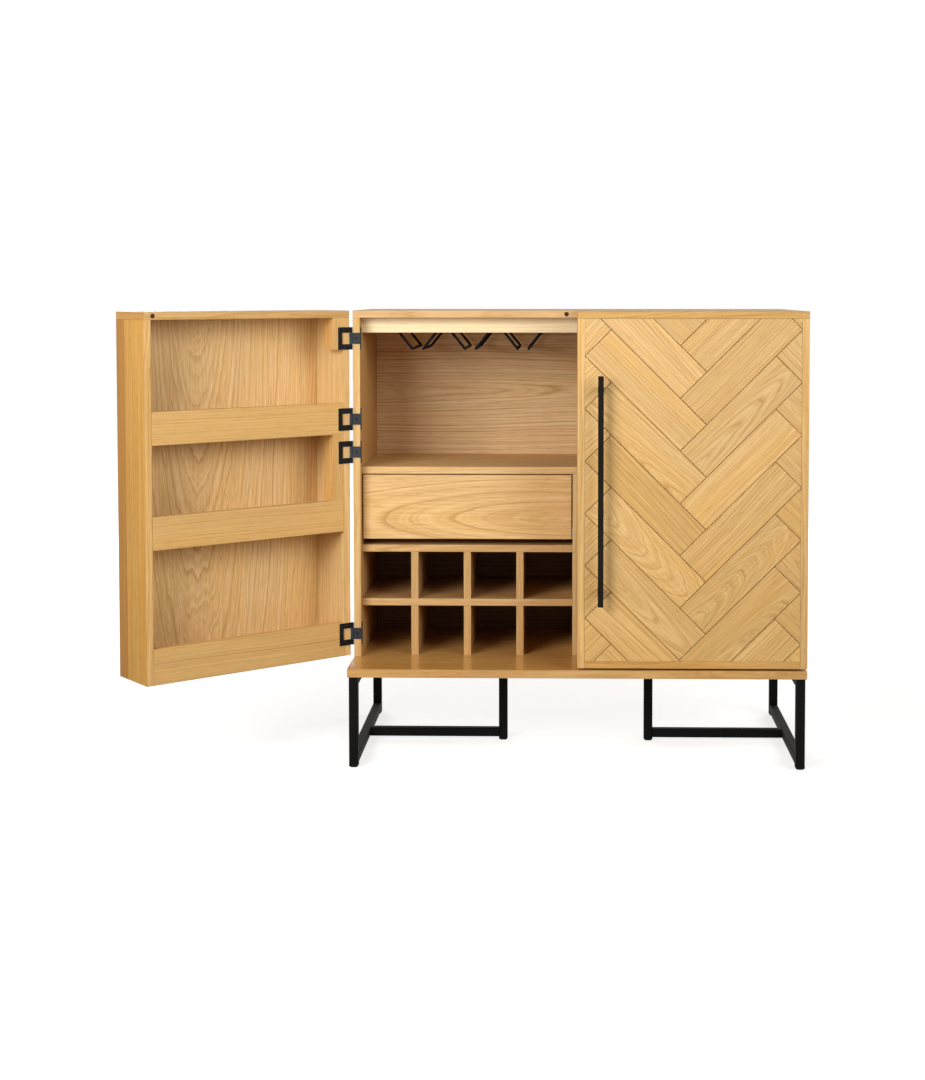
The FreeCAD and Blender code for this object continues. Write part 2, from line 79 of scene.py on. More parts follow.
# Screw heads: radius of the head, its crown, and the cross cut in it; rings of the crown and
# the cross's floor, as parts of the radius or the cross and of the crown; how far they spin,
# and what sets one screw's spin apart from the next one's.
HEAD_RADIUS = 0.0027
HEAD_CROWN = 0.00018
CROSS_REACH = 0.0016
CROSS_HALF = 0.00045
HEAD_RINGS = ((1.0, 0.0), (0.96, 0.6), (0.78, 0.9))
CROSS_FLOOR = (0.8, 0.2)
SPIN = 6.28
SPIN_PER_HINGE = 7
SPIN_PER_METRE = 900
SPIN_SALT = 9


def left_door_turn(angle):
    """A turn about the left door's hinge."""
    return (
        Matrix.Translation(LEFT_AXIS) @ Matrix.Rotation(angle, 4, "Z") @ Matrix.Translation(-LEFT_AXIS)
    )


def steady(number, salt):
    """A steady fraction for a whole number, the same in every run."""
    return (math.sin(number * 12.9898 + salt * 78.233) * 43758.5453) % 1.0


# Node trees

class Num:
    """A number in a material's tree, with ordinary arithmetic."""

    def __init__(self, shader, socket):
        self.shader = shader
        self.socket = socket

    def __add__(self, other):
        return self.shader.math("ADD", self, other)

    __radd__ = __add__

    def __sub__(self, other):
        return self.shader.math("SUBTRACT", self, other)

    def __rsub__(self, other):
        return self.shader.math("SUBTRACT", other, self)

    def __mul__(self, other):
        return self.shader.math("MULTIPLY", self, other)

    __rmul__ = __mul__

    def __truediv__(self, other):
        return self.shader.math("DIVIDE", self, other)


class Shader:
    """A material being wired: each call adds a node and gives back its output."""

    def __init__(self, name):
        self.material = bpy.data.materials.new(name)
        self.material.use_nodes = True
        self.tree = self.material.node_tree
        self.surface = self.tree.nodes["Principled BSDF"]

    def feed(self, socket, value):
        if isinstance(value, Num):
            value = value.socket
        if isinstance(value, bpy.types.NodeSocket):
            self.tree.links.new(value, socket)
        else:
            socket.default_value = value

    def finish(self, **inputs):
        """Sets or links inputs of the surface; an underscore stands for a blank."""
        for key, value in inputs.items():
            self.feed(self.surface.inputs[key.replace("_", " ")], value)

    def node(self, kind, inputs, **settings):
        made = self.tree.nodes.new(kind)
        for key, value in settings.items():
            setattr(made, key, value)
        for key, value in inputs.items():
            self.feed(made.inputs[key], value)
        return made

    def coordinates(self, kind):
        return self.node("ShaderNodeTexCoord", {}).outputs[kind]

    def math(self, operation, *values):
        made = self.node("ShaderNodeMath", dict(enumerate(values)), operation=operation)
        return Num(self, made.outputs[0])

    def above(self, value, limit):
        return self.math("GREATER_THAN", value, limit)

    def below(self, value, limit):
        return self.math("LESS_THAN", value, limit)

    def smooth(self, value, low, high):
        """0 below low, 1 above high, and a smooth step between them."""
        made = self.node(
            "ShaderNodeMapRange", {"Value": value, "From Min": low, "From Max": high},
            interpolation_type="SMOOTHSTEP",
        )
        return Num(self, made.outputs["Result"])

    def vector(self, x, y, z):
        return self.node("ShaderNodeCombineXYZ", {"X": x, "Y": y, "Z": z}).outputs["Vector"]

    def split(self, vector):
        made = self.node("ShaderNodeSeparateXYZ", {"Vector": vector})
        return [Num(self, made.outputs[letter]) for letter in "XYZ"]

    def noise(self, vector, scale, shift, detail=2.0, rough=0.5):
        """Noise stretched by a scale for each axis, per metre; 0.5 on average."""
        placed = self.node(
            "ShaderNodeVectorMath", {0: vector, 1: scale, 2: shift}, operation="MULTIPLY_ADD",
        )
        made = self.node(
            "ShaderNodeTexNoise",
            {"Vector": placed.outputs["Vector"], "Scale": 1.0, "Detail": detail, "Roughness": rough},
        )
        return Num(self, made.outputs["Fac"])

    def streak(self, value, detail=3.0, rough=0.6):
        """Uneven light and dark along one number; 0.5 on average."""
        made = self.node(
            "ShaderNodeTexNoise",
            {"W": value, "Scale": 1.0, "Detail": detail, "Roughness": rough}, noise_dimensions="1D",
        )
        return Num(self, made.outputs["Fac"])

    def draws(self, number):
        """Three steady random numbers for each whole number."""
        made = self.node("ShaderNodeTexWhiteNoise", {"W": number}, noise_dimensions="1D")
        return self.split(made.outputs["Color"])

    def mix(self, factor, low, high):
        made = self.node("ShaderNodeMix", {"Factor": factor, 6: low, 7: high}, data_type="RGBA")
        return made.outputs[2]

    def scale_colour(self, colour, factor):
        made = self.node("ShaderNodeVectorMath", {0: colour, "Scale": factor}, operation="SCALE")
        return made.outputs["Vector"]

    def tint(self, colour, stain):
        made = self.node("ShaderNodeVectorMath", {0: colour, 1: stain}, operation="MULTIPLY")
        return made.outputs["Vector"]

    def stain_where(self, mask, colour, stain):
        return self.mix(mask, colour, self.tint(colour, stain))

    def bump(self, height, strength, distance):
        made = self.node(
            "ShaderNodeBump", {"Height": height, "Strength": strength, "Distance": distance},
        )
        return made.outputs["Normal"]


def rgb(r, g, b):
    return (r, g, b, 1.0)


# Oak

OAK_LIGHT = rgb(0.795, 0.537, 0.252)
OAK_MID = rgb(0.626, 0.368, 0.131)
OAK_LINE = rgb(0.395, 0.168, 0.036)
OAK_PORE = rgb(0.268, 0.119, 0.031)
GROOVE = rgb(0.215, 0.082, 0.012)

# Noise scales per metre: along the grain, across it and into the board.
SWAY_SCALE = (2.2, 9.0, 9.0)
RIPPLE_SCALE = (5.0, 70.0, 70.0)
FIBRE_SCALE = (5.0, 230.0, 230.0)
CLOUD_SCALE = (1.3, 6.0, 6.0)
WARMTH_SCALE = (1.7, 16.0, 16.0)
DASH_SCALE = (24.0, 470.0, 470.0)
PORE_SCALE = (42.0, 1300.0, 1300.0)
WORN_SCALE = (30.0, 30.0, 30.0)

# What a board's seed shifts: its noise, its rings, and the draws of its rings.
SEED_SHIFT = (3.17, 1.73, 2.39)
SEED_TURNS = 7.3
SEED_DRAWS = 11.0

# Growth rings: how far they sway, how uneven their widths are, where the dark early wood
# begins and ends in each, the faintest one, and the streaks that run with them.
SWAY = 0.020
UNEVEN_SCALE = 0.55
UNEVEN = 1.1
EARLY_RISE = (0.0, 0.05)
EARLY_FALL = (0.06, 0.30)
FAINTEST = 0.25
STREAK_SCALE = 1.9
STREAK_SHIFT = 0.37
# How ragged the rings of a plain board are.
PLAIN_JAG = 0.004

# Where the noise turns from light to dark.
FIBRE_STEP = (0.36, 0.64)
STREAK_STEP = (0.38, 0.62)
DASH_STEP = (0.58, 0.74)
PORE_STEP = (0.58, 0.72)
WARMTH_STEP = (0.40, 0.72)
PORE_OUTSIDE = 0.3

# How strongly each shows in the colour, the brightness, the relief and the roughness.
STREAK_MIX = 0.48
DASH_MIX = 0.34
LINE_MIX = 0.62
PORE_MIX = 0.45
WARMTH_MIX = 0.6
CLOUD_TONE = 0.16
RING_TONE = 0.05
PORE_DEPTH = 0.7
LINE_DEPTH = 0.3
FIBRE_DEPTH = 0.15
RELIEF_STRENGTH = 0.35
RELIEF = 0.0004
FIBRE_ROUGH = 0.18
PORE_ROUGH = 0.2

# A board's worn edges, with a hairline between it and the next one.
EDGE_WIDTH = 0.0016
HAIRLINE = (0.0002, 0.0010)
WEAR_TONE = 0.16
WEAR_LOSS = 0.02
HAIRLINE_TONE = 0.30
EDGE_DEPTH = 4.0

# Lacquer: least roughness and gloss of plain, polished and matt boards.
PLAIN_ROUGH = 0.42
POLISHED_ROUGH = 0.10
PLAIN_GLOSS = 0.25
POLISHED_GLOSS = 0.5
MATT_GLOSS = 0.06

# Stains over that oak. Warm drifts are in every board; the same warm tint paints shade on the lower
# planks.
PLAIN_STAIN = (1.0, 1.0, 1.0)
WARM_STAIN_AND_SHADE = (1.02, 0.96, 0.78)
# Door frames and rails, the doors' bottoms, sides and inner panels.
GOLDEN_STAIN = (0.93, 0.85, 0.67)
LOW_STAIN = (0.90, 0.76, 0.54)
DOOR_SIDE_STAIN = (1.06, 1.03, 0.98)
INNER_STAIN = (1.01, 1.05, 1.09)
# Carcass boards.
TOP_STAIN = (0.93, 0.91, 0.95)
# The top rail is paler: partly pale oak, partly painted light.
PALE_OAK_AND_PAINTED_LIGHT = (1.07, 1.30, 1.80)
BACK_STAIN = (1.02, 1.06, 1.30)
BASE_STAIN = (0.93, 0.80, 0.57)
RACK_STAIN = (0.92, 0.88, 0.87)
DIVIDER_STAIN = (0.84, 0.80, 0.75)
# Parts of a board, over its own stain: the strip over an end, a side's outer and inner faces
# (painted shade on the carcass sides' inner faces), the stave along a door side's front, and painted
# shade on the rack's faces and the back behind it.
END_STAIN = (0.89, 0.77, 0.62)
SIDE_STAIN = (0.868, 0.75, 0.49)
INNER_SIDE_STAIN = (1.00, 1.09, 1.22)
CARCASS_INNER_PAINTED_SHADE = (0.80, 0.72, 0.64)
STAVE_STAIN = (0.76, 0.68, 0.65)
RACK_FACE_PAINTED_SHADE = (0.76, 0.72, 0.69)
RACK_BACK_PAINTED_SHADE = (0.36, 0.28, 0.25)


def oak_finish(shader, grain, seed, heart, slope, ring, tone=0.0, stain=PLAIN_STAIN, edge=None,
               bold=1.0, jag=PLAIN_JAG, streaky=1.0, warm_and_shade=0.0, rough=PLAIN_ROUGH):
    """Wires lacquered oak, and gives back its colour.

    grain: lengths along the grain, across the face and into the board.
    heart: how far the tree's middle lies across the face and below it; slope tilts
    it along the board, which draws the arches. ring: spacing of the growth rings.
    tone: darker or lighter board. edge: distance to the board's nearest edge.
    bold: strength of the ring lines. jag: how ragged the arches are, in metres.
    streaky: strength of the light and dark streaks. warm_and_shade: more of the warmer tone, which on
    the planks also paints shade lower down.
    rough: least roughness of the lacquer.
    """
    along, across, deep = grain
    place = shader.vector(along, across, deep)
    shift = [seed * step for step in SEED_SHIFT]
    if isinstance(seed, Num):
        shift = shader.vector(*shift)
    sway = shader.noise(place, SWAY_SCALE, shift, detail=1.0)
    ripple = shader.noise(place, RIPPLE_SCALE, shift)
    side = across - heart[0]
    below = deep + heart[1] + along * slope
    radius = shader.math("SQRT", side * side + below * below)
    radius = radius + (sway - 0.5) * SWAY + (ripple - 0.5) * jag
    turns = radius / ring + seed * SEED_TURNS
    turns = turns + (shader.streak(turns * UNEVEN_SCALE, detail=1.0) - 0.5) * UNEVEN
    ring_number = shader.math("FLOOR", turns)
    within = turns - ring_number
    strong, lighter, _ = shader.draws(ring_number + seed * SEED_DRAWS)
    early = shader.smooth(within, *EARLY_RISE) * (1.0 - shader.smooth(within, *EARLY_FALL))
    line = early * (strong * (1.0 - FAINTEST) + FAINTEST) * bold
    lines = shader.streak(turns * STREAK_SCALE + STREAK_SHIFT, detail=3.0, rough=0.65)
    fibre = shader.noise(place, FIBRE_SCALE, shift, detail=4.0, rough=0.65)
    cloud = shader.noise(place, CLOUD_SCALE, shift)
    warmth = shader.noise(place, WARMTH_SCALE, shift)
    dash = shader.smooth(shader.noise(place, DASH_SCALE, shift, detail=1.0), *DASH_STEP)
    pore = shader.smooth(shader.noise(place, PORE_SCALE, shift, detail=1.0), *PORE_STEP)
    pore = pore * (early * (1.0 - PORE_OUTSIDE) + PORE_OUTSIDE)

    streaks = shader.smooth(fibre, *FIBRE_STEP) * STREAK_MIX
    streaks = streaks + shader.smooth(lines, *STREAK_STEP) * STREAK_MIX
    colour = shader.mix(streaks * streaky, OAK_LIGHT, OAK_MID)
    colour = shader.mix(dash * (DASH_MIX * streaky), colour, OAK_LINE)
    colour = shader.mix(line * LINE_MIX, colour, OAK_LINE)
    colour = shader.mix(pore * PORE_MIX, colour, OAK_PORE)
    # Warm drifts of the oak, and on the planks a painted shade that warms them lower down.
    warm_drift_and_shade = shader.smooth(warmth, *WARMTH_STEP) * WARMTH_MIX + warm_and_shade
    colour = shader.stain_where(warm_drift_and_shade, colour, WARM_STAIN_AND_SHADE)
    brightness = (cloud - 0.5) * CLOUD_TONE + (lighter - 0.5) * RING_TONE + 1.0 + tone
    height = 0.0 - pore * PORE_DEPTH - line * LINE_DEPTH - fibre * FIBRE_DEPTH
    if edge is not None:
        worn = shader.noise(place, WORN_SCALE, shift)
        near = 1.0 - shader.smooth(edge, 0.0, EDGE_WIDTH)
        hairline = 1.0 - shader.smooth(edge, *HAIRLINE)
        brightness = brightness + near * (worn * WEAR_TONE - WEAR_LOSS) - hairline * HAIRLINE_TONE
        height = height - near * EDGE_DEPTH
    colour = shader.scale_colour(colour, brightness)
    if stain is not PLAIN_STAIN:
        colour = shader.tint(colour, stain)
    shader.finish(
        Base_Color=colour,
        Roughness=fibre * FIBRE_ROUGH + pore * PORE_ROUGH + rough,
        Normal=shader.bump(height, RELIEF_STRENGTH, RELIEF),
        Specular_IOR_Level=PLAIN_GLOSS,
    )
    return colour


def closed_place(shader, body):
    """The point in the closed cabinet, so that a door's grain turns with the door."""
    where = shader.coordinates("Object")
    if body != "left_door":
        return where
    turned = shader.node(
        "ShaderNodeVectorRotate", {"Vector": where, "Center": LEFT_AXIS, "Angle": LEFT_OPEN},
        rotation_type="Z_AXIS",
    )
    return turned.outputs["Vector"]


def closed_normal(shader, body):
    """The way the surface faces in the closed cabinet."""
    normal = shader.coordinates("Normal")
    if body != "left_door":
        return normal
    turned = shader.node(
        "ShaderNodeVectorRotate", {"Vector": normal, "Angle": LEFT_OPEN}, rotation_type="Z_AXIS",
    )
    return turned.outputs["Vector"]


def closed_box(node, body):
    """A piece's corners in the closed cabinet."""
    points = [v.co.copy() for v in nodes[node].data.vertices]
    if body == "left_door":
        turn = left_door_turn(LEFT_OPEN)
        points = [turn @ p for p in points]
    low = Vector(min(p[k] for p in points) for k in range(3))
    high = Vector(max(p[k] for p in points) for k in range(3))
    return low, high


def edge_distance(shader, place, low, high):
    """On a rectangular board's surface, the distance to its nearest edge."""
    inside = []
    for k in range(3):
        middle = (low[k] + high[k]) / 2
        half = (high[k] - low[k]) / 2
        inside.append(half - shader.math("ABSOLUTE", place[k] - middle))
    first, second, third = inside
    least = shader.math("MINIMUM", first, second)
    most = shader.math("MAXIMUM", first, second)
    return shader.math("MAXIMUM", least, shader.math("MINIMUM", most, third))


# Each board's grain: the axes along the grain, across the face and into the board.
GRAIN = {
    "base_board": "xyz", "top_board": "xyz", "top_rail": "xzy", "back_panel": "xzy",
    "left_side": "zyx", "right_side": "zyx", "centre_partition": "zyx",
    "upper_shelf": "xyz", "rack_top_board": "xyz", "rack_middle_board": "xyz",
    "right_bay_shelf": "xyz", "bottle_dividers": "zyx",
    "drawer_front": "xzy", "drawer_left_side": "yzx", "drawer_right_side": "yzx",
    "drawer_back": "xzy", "drawer_bottom": "yxz",
}
DOOR_GRAIN = {
    "hinge_side": "zyx", "free_side": "zyx", "bottom": "xyz", "top": "xyz", "panel": "zxy",
    "lower_rail": "xzy", "upper_rail": "xzy", "bottom_rail": "xzy",
    "lower_shelf": "xyz", "upper_shelf": "xyz", "hinge_blocks": "zxy",
}

# Boards whose figure shows: heart across the face from the board's low side, heart
# below the face, slope and ring spacing.
FIGURE = {
    "drawer_front": (0.046, 0.038, -0.150, 0.0125),
    "back_panel": (0.580, 0.035, 0.030, 0.0075),
    "left_door_panel": (0.300, 0.090, -0.115, 0.0080),
    "right_door_panel": (0.170, 0.090, 0.115, 0.0080),
}
# Other boards: the least and what is added at most to it, for how far the heart lies to one
# side and below the face and how far apart the rings are; and spreads of slope and tone.
PLAIN_ASIDE = (0.08, 0.16)
PLAIN_BELOW = (0.024, 0.060)
PLAIN_RING = (0.0044, 0.00275)
PLAIN_SLOPE = 0.10
PLAIN_TONE = 0.07

# Ring lines are faint but on figured boards, whose arches are ragged. Rails are plainer.
BOLD = {"drawer_front": 0.8, "back_panel": 1.4, "top_rail": 0.2}
PLAIN_BOLD = 0.5
JAG = {"back_panel": 0.007}
STREAKY = {"top_rail": 0.4}

# Darker and lighter boards, and stains other than the plain one.
# The top rail's lighter tone is partly painted light.
TONE = {"top_rail": 0.11, "drawer_front": 0.05, "left_side": -0.07}
STAIN = {
    "base_board": BASE_STAIN, "top_board": TOP_STAIN, "back_panel": BACK_STAIN, "top_rail": PALE_OAK_AND_PAINTED_LIGHT,
    "rack_top_board": RACK_STAIN, "rack_middle_board": RACK_STAIN, "bottle_dividers": DIVIDER_STAIN,
}
for door in DOORS:
    for piece, letters in DOOR_GRAIN.items():
        GRAIN[f"{door}_{piece}"] = letters
        STAIN[f"{door}_{piece}"] = GOLDEN_STAIN
    for piece in ("lower_rail", "upper_rail", "bottom_rail"):
        STREAKY[f"{door}_{piece}"] = 0.6
    for piece in ("free_side", "hinge_side"):
        STAIN[f"{door}_{piece}"] = DOOR_SIDE_STAIN
    STAIN[f"{door}_bottom"] = LOW_STAIN
    STAIN[f"{door}_panel"] = INNER_STAIN
    TONE[f"{door}_panel"] = 0.09
    TONE[f"{door}_top"] = -0.06
    BOLD[f"{door}_panel"] = 1.0
    JAG[f"{door}_panel"] = 0.008

# The sides are golden and matt outside, and the doors' sides have a darker stave along the
# front: which way each one's outside faces.
OUTSIDE = {
    "left_side": -1.0, "right_side": 1.0,
    "left_door_free_side": 1.0, "left_door_hinge_side": -1.0,
    "right_door_free_side": -1.0, "right_door_hinge_side": 1.0,
}
STAVE_WIDTH = 0.040
# Painted shade darkens the rack behind its front edges, and the back behind it.
RACK = ("rack_top_board", "rack_middle_board", "bottle_dividers")
RACK_CORNER = closed_box("rack_top_board", "cabinet")[1]
# The base board is polished.
POLISHED = ("base_board",)
# Nodes of several solids, which have no edges of one board.
MANY_SOLIDS = ("bottle_dividers", "left_door_hinge_blocks", "right_door_hinge_blocks")
# A surface faces an axis where its normal has more than this along it.
FACING = 0.7


def board_material(node, count):
    """Oak that follows one board's grain, with its ends and faces stained."""
    body = nodes[node]["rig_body"]
    axes = ["xyz".index(letter) for letter in GRAIN[node]]
    low, high = closed_box(node, body)
    shader = Shader(f"oak_{node}")
    place = shader.split(closed_place(shader, body))
    facing = shader.split(closed_normal(shader, body))
    middle = (low + high) / 2
    along, across, deep = [place[k] - middle[k] for k in axes]
    # The strip glued over a board's end runs along the end.
    at_end = shader.above(shader.math("ABSOLUTE", facing[axes[0]]), FACING)
    level = 1.0 - at_end
    grain = (
        along * level + across * at_end,
        across * level + deep * at_end,
        deep * level + along * at_end,
    )
    if node in FIGURE:
        offset, below, slope, ring = FIGURE[node]
        heart = (offset - (high - low)[axes[1]] / 2, below)
    else:
        hand = 1 if steady(count, 1) > 0.5 else -1
        aside = hand * (PLAIN_ASIDE[0] + PLAIN_ASIDE[1] * steady(count, 2))
        heart = (aside, PLAIN_BELOW[0] + PLAIN_BELOW[1] * steady(count, 3))
        slope = PLAIN_SLOPE * (steady(count, 4) - 0.5)
        ring = PLAIN_RING[0] + PLAIN_RING[1] * steady(count, 5)
    colour = oak_finish(
        shader, grain, float(count), heart, slope, ring,
        tone=TONE.get(node, PLAIN_TONE * (steady(count, 6) - 0.5)),
        stain=STAIN.get(node, PLAIN_STAIN),
        edge=None if node in MANY_SOLIDS else edge_distance(shader, place, low, high),
        bold=BOLD.get(node, PLAIN_BOLD),
        jag=JAG.get(node, PLAIN_JAG),
        streaky=STREAKY.get(node, 1.0),
        rough=POLISHED_ROUGH if node in POLISHED else PLAIN_ROUGH,
    )
    colour = shader.stain_where(at_end, colour, END_STAIN)
    if node in OUTSIDE:
        outer = shader.above(facing[0] * OUTSIDE[node], FACING)
        inner = shader.below(facing[0] * OUTSIDE[node], -FACING)
        colour = shader.stain_where(outer, colour, SIDE_STAIN)
        # The carcass sides' inner faces get painted shade; the doors' inner sides get a paler stain.
        inner_stain_or_shade = CARCASS_INNER_PAINTED_SHADE
        if body in DOORS:
            in_stave = outer * shader.below(place[1], low.y + STAVE_WIDTH)
            colour = shader.stain_where(in_stave, colour, STAVE_STAIN)
            inner_stain_or_shade = INNER_SIDE_STAIN
        colour = shader.stain_where(inner, colour, inner_stain_or_shade)
        shader.finish(Specular_IOR_Level=MATT_GLOSS)
    # Painted shade in the rack's cells: on its faces behind the front edges, and on the back behind
    # them.
    if node in RACK:
        not_front = shader.above(facing[1], -FACING)
        colour = shader.stain_where(not_front, colour, RACK_FACE_PAINTED_SHADE)
    if node == "back_panel":
        front = shader.below(facing[1], -FACING)
        behind = front * shader.below(place[0], RACK_CORNER.x) * shader.below(place[2], RACK_CORNER.z)
        colour = shader.stain_where(behind, colour, RACK_BACK_PAINTED_SHADE)
    if node in POLISHED:
        shader.finish(Specular_IOR_Level=POLISHED_GLOSS)
    shader.finish(Base_Color=colour)
    return shader.material


# Numbers given to planks: rows count from 1, the second column of each direction is numbered
# from 40 up, the rising planks from 90 up and the left door's from 300 up.
SECOND_COLUMN = 40.0
RISING = 90.0
LEFT_DOOR_PLANKS = 300.0
# Planks of the right door with an arched figure, and a darker one.
ARCHED_PLANKS = (3.0, 4.0, 91.0, 94.0, 95.0)
TAN_PLANK = 2.0
# Spread of the planks' tones and warmth, how much darker and warmer the tan one is, and the
# painted shade that makes the planks warmer and darker from one level below the door's top to another.
PLANK_TONE = 0.12
TAN_TONE = 0.16
TAN_WARMTH = 0.4
PLANK_WARMTH = 0.35
PAINTED_SHADE_LEVELS = (0.15, 0.80)
PAINTED_SHADE_LOW_DOWN = 0.55
# Planks' hearts, slopes and rings: spreads, least values and what is added at most to them,
# and how an arched or a tan plank departs from the others.
PLANK_ASIDE = 0.28
ARCHED_ASIDE = 0.22
TAN_ASIDE = 0.12
PLANK_BELOW = (0.014, 0.05)
PLANK_SLOPE = 0.20
ARCHED_SPREAD = 0.12
ARCHED_SLOPE = 0.10
PLANK_RING = (0.0050, 0.003)
ARCHED_RING = 0.0018
ARCHED_FAINTER = 0.3
# The stained V-groove starts at this part of the bevel.
GROOVE_START = 0.25
GROOVE_MIX = 0.85


def herringbone_material(door):
    """Oak that follows each plank's own direction, heart and tone."""
    shader = Shader(f"oak_{door}_herringbone")
    x, y, z = shader.split(closed_place(shader, door))
    low, high = closed_box(f"{door}_panel", door)
    face = closed_box(f"{door}_herringbone", door)[0].y
    root_half = math.sqrt(0.5)
    # u runs from the free edge to the hinge and v down from the top.
    u = x - low.x if door == "right_door" else high.x - x
    v = high.z - z
    down = (u + v) * root_half
    cross = (v - u) * root_half
    start = FIRST_PLANK_DROP * root_half

    def inside(value):
        return shader.above(value, 0.0) * shader.below(value, PLANK_LENGTH)

    def row(value):
        return shader.math("CEIL", value / PLANK_WIDTH)

    # Planks that fall from the free edge: the first column, and the one after it.
    near_row = row(cross - start)
    near_along = down - start - near_row * PLANK_WIDTH
    next_row = row(cross - start + PLANK_LENGTH)
    next_along = down - start - PLANK_LENGTH - next_row * PLANK_WIDTH
    in_next = inside(next_along)
    falling = shader.math("MAXIMUM", inside(near_along), in_next)
    fall_row = near_row + (next_row - near_row) * in_next
    fall_along = near_along + (next_along - near_along) * in_next
    fall_across = cross - start + in_next * PLANK_LENGTH - (fall_row - 0.5) * PLANK_WIDTH
    # Planks that rise to it: the first column, and the one before it.
    rise_row = row(down - start - PLANK_LENGTH)
    rise_along = start - cross - PLANK_WIDTH + rise_row * PLANK_WIDTH
    before_row = row(down - start)
    before_along = start - cross + PLANK_LENGTH - PLANK_WIDTH + before_row * PLANK_WIDTH
    in_before = inside(before_along) * (1.0 - inside(rise_along))
    rise_number = rise_row + (before_row - rise_row) * in_before
    rise_length = rise_along + (before_along - rise_along) * in_before
    rise_across = down - start - PLANK_LENGTH * (1.0 - in_before) - (rise_number - 0.5) * PLANK_WIDTH

    rising = 1.0 - falling
    along = fall_along * falling + rise_length * rising
    across = fall_across * falling + rise_across * rising
    fall_number = fall_row + in_next * SECOND_COLUMN
    rise_number = rise_number + in_before * SECOND_COLUMN + RISING
    number = fall_number * falling + rise_number * rising
    if door == "left_door":
        number = number + LEFT_DOOR_PLANKS

    first, second, third = shader.draws(number)
    arched = 0.0
    for chosen in ARCHED_PLANKS:
        arched = shader.math("COMPARE", number, chosen, 0.5) + arched
    tan = shader.math("COMPARE", number, TAN_PLANK, 0.5)
    aside = (second - 0.5) * (PLANK_ASIDE - arched * ARCHED_ASIDE) + tan * TAN_ASIDE
    below = third * PLANK_BELOW[1] + PLANK_BELOW[0]
    colour = oak_finish(
        shader, (along, across, y - face), number, (aside, below),
        slope=(first - 0.5) * (PLANK_SLOPE - arched * ARCHED_SPREAD) + arched * ARCHED_SLOPE,
        ring=second * PLANK_RING[1] + PLANK_RING[0] - arched * ARCHED_RING,
        tone=(third - 0.5) * PLANK_TONE - tan * TAN_TONE,
        bold=1.0 - arched * ARCHED_FAINTER,
        # Lower planks warmer and darker: painted shade, over each plank's own random warmth.
        warm_and_shade=shader.smooth(v, *PAINTED_SHADE_LEVELS) * PAINTED_SHADE_LOW_DOWN + first * PLANK_WARMTH + tan * TAN_WARMTH,
    )
    groove = shader.smooth(y - face, PLANK_BEVEL * GROOVE_START, PLANK_BEVEL)
    shader.finish(Base_Color=shader.mix(groove * GROOVE_MIX, colour, GROOVE))
    return shader.material


# Metal and plastic

# Noise scales per metre and shifts, and where the noise turns from one tone to the other.
NO_SHIFT = (0.0, 0.0, 0.0)
GRIT_SCALE = (900.0,) * 3
BROAD_SCALE = (14.0,) * 3
BROAD_SHIFT = (3.0, 5.0, 7.0)
BROAD_STEP = (0.25, 0.75)
RUB_SCALE = (70.0,) * 3
RUB_SHIFT = (11.0, 1.0, 4.0)
RUB_STEP = (0.55, 0.80)
ROLLED_SCALE = (900.0, 9.0, 900.0)
SPANGLE_SCALE = (120.0,) * 3
SPANGLE_SHIFT = (2.0, 3.0, 5.0)
# How strongly each shows in the tone, the roughness and the relief.
BROAD_MIX = 0.7
RUB_MIX = 0.3
GRIT_ROUGH = 0.14
BROAD_ROUGH = 0.10
GRIT_DEPTH = 0.0003
COAT_GLOSS = 0.07
SPANGLE_MIX = 0.6
ROLLED_MIX = 0.4
ROLLED_ROUGH = 0.2
ZINC_ROUGH = 0.26
ROLLED_STRENGTH = 0.15
ROLLED_DEPTH = 0.0002
ZINC_DARK = rgb(0.46, 0.47, 0.49)
ZINC_LIGHT = rgb(0.70, 0.71, 0.72)


def coated_material(name, colour, sheen, rough, grit):
    """Powder coat or moulded plastic: a fine grit with a little wear in the tone."""
    shader = Shader(name)
    where = shader.coordinates("Object")
    fine = shader.noise(where, GRIT_SCALE, NO_SHIFT)
    broad = shader.noise(where, BROAD_SCALE, BROAD_SHIFT, detail=3.0)
    rub = shader.noise(where, RUB_SCALE, RUB_SHIFT, detail=4.0, rough=0.7)
    tone = shader.smooth(broad, *BROAD_STEP) * BROAD_MIX + shader.smooth(rub, *RUB_STEP) * RUB_MIX
    shader.finish(
        Base_Color=shader.mix(tone, colour, sheen),
        Roughness=fine * GRIT_ROUGH + broad * BROAD_ROUGH + rough,
        Normal=shader.bump(fine, grit, GRIT_DEPTH),
        Specular_IOR_Level=COAT_GLOSS,
    )
    return shader.material


def zinc_material(name):
    """Rolled and zinc-plated sheet, with a grain along the runner."""
    shader = Shader(name)
    where = shader.coordinates("Object")
    rolled = shader.noise(where, ROLLED_SCALE, NO_SHIFT, detail=3.0)
    spangle = shader.noise(where, SPANGLE_SCALE, SPANGLE_SHIFT)
    shader.finish(
        Base_Color=shader.mix(spangle * SPANGLE_MIX + rolled * ROLLED_MIX, ZINC_DARK, ZINC_LIGHT),
        Roughness=rolled * ROLLED_ROUGH + ZINC_ROUGH,
        Normal=shader.bump(rolled, ROLLED_STRENGTH, ROLLED_DEPTH),
        Metallic=1.0,
    )
    return shader.material


# Each coat's colour, the colour where it is rubbed, its roughness and its grit.
leg_black = coated_material(
    "black_powder_coat", rgb(0.0036, 0.0034, 0.0032), rgb(0.0070, 0.0066, 0.0062), 0.52, 0.25)
hinge_black = coated_material(
    "black_hinge_steel", rgb(0.007, 0.007, 0.008), rgb(0.014, 0.014, 0.015), 0.38, 0.12)
